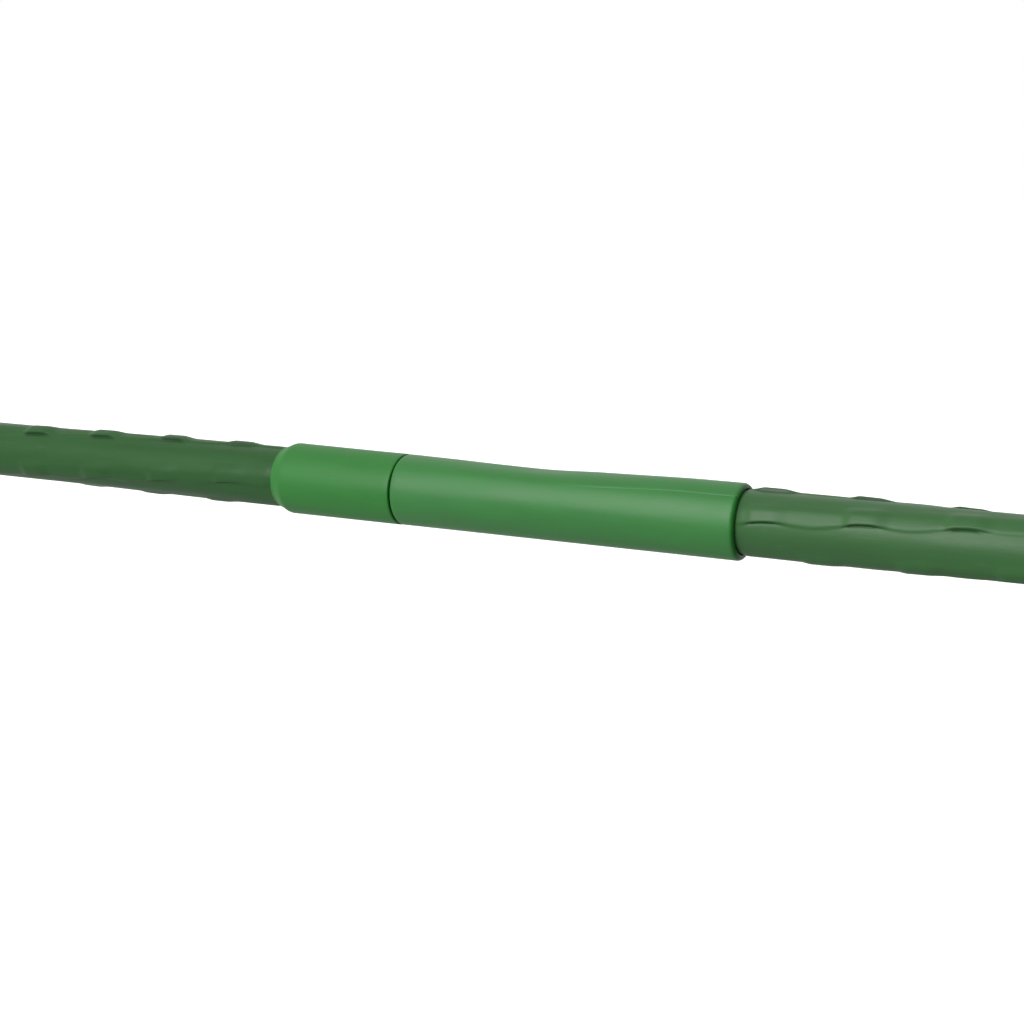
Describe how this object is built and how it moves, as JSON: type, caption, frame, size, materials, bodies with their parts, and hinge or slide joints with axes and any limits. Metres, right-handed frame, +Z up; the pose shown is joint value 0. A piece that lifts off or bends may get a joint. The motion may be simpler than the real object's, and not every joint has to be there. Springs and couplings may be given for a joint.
{
  "type": "sectional plastic-coated garden stake",
  "caption": "Straight plastic-coated steel stake in two sections, joined by a push-fit plug and sleeve, with winding rows of grip bumps, a domed cap and a pointed spike.",
  "frame": {"origin": "middle of the stake's overall box, on its axis, a little to the +X side of the coupling's seam", "axes": "+X along the stake towards the ground spike, +Z up as the stake lies, with the sleeve's shallow dip on top; -Y is the side that is seen first"},
  "size_m": [0.874, 0.0136, 0.0136],
  "materials": {
    "core_steel": "bright rolled strip steel, seen only at a cut end",
    "coating_plastic": "dull dark green polyethylene with a soft sheen and moulded grip bumps",
    "coupling_plastic": "mid green moulded plastic, satin, lightly scuffed",
    "end_plastic": "dark green moulded plastic, satin"
  },
  "bodies": {
    "lower_section": {"lower_core_tube": "core_steel", "lower_coating": "coating_plastic", "ground_spike": "end_plastic", "socket_sleeve": "coupling_plastic"},
    "plug": {"male_plug": "coupling_plastic"},
    "upper_section": {"upper_core_tube": "core_steel", "upper_coating": "coating_plastic", "top_cap": "end_plastic"}
  },
  "joints": [
    {"name": "plug_slide", "type": "slide", "parent": "lower_section", "child": "plug", "axis": [-1, 0, 0], "range_m": [0, 0.038]},
    {"name": "section_twist", "type": "hinge", "parent": "plug", "child": "upper_section", "pos_m": [-0.0458, 0, 0], "axis": [1, 0, 0], "continuous": true}
  ]
}
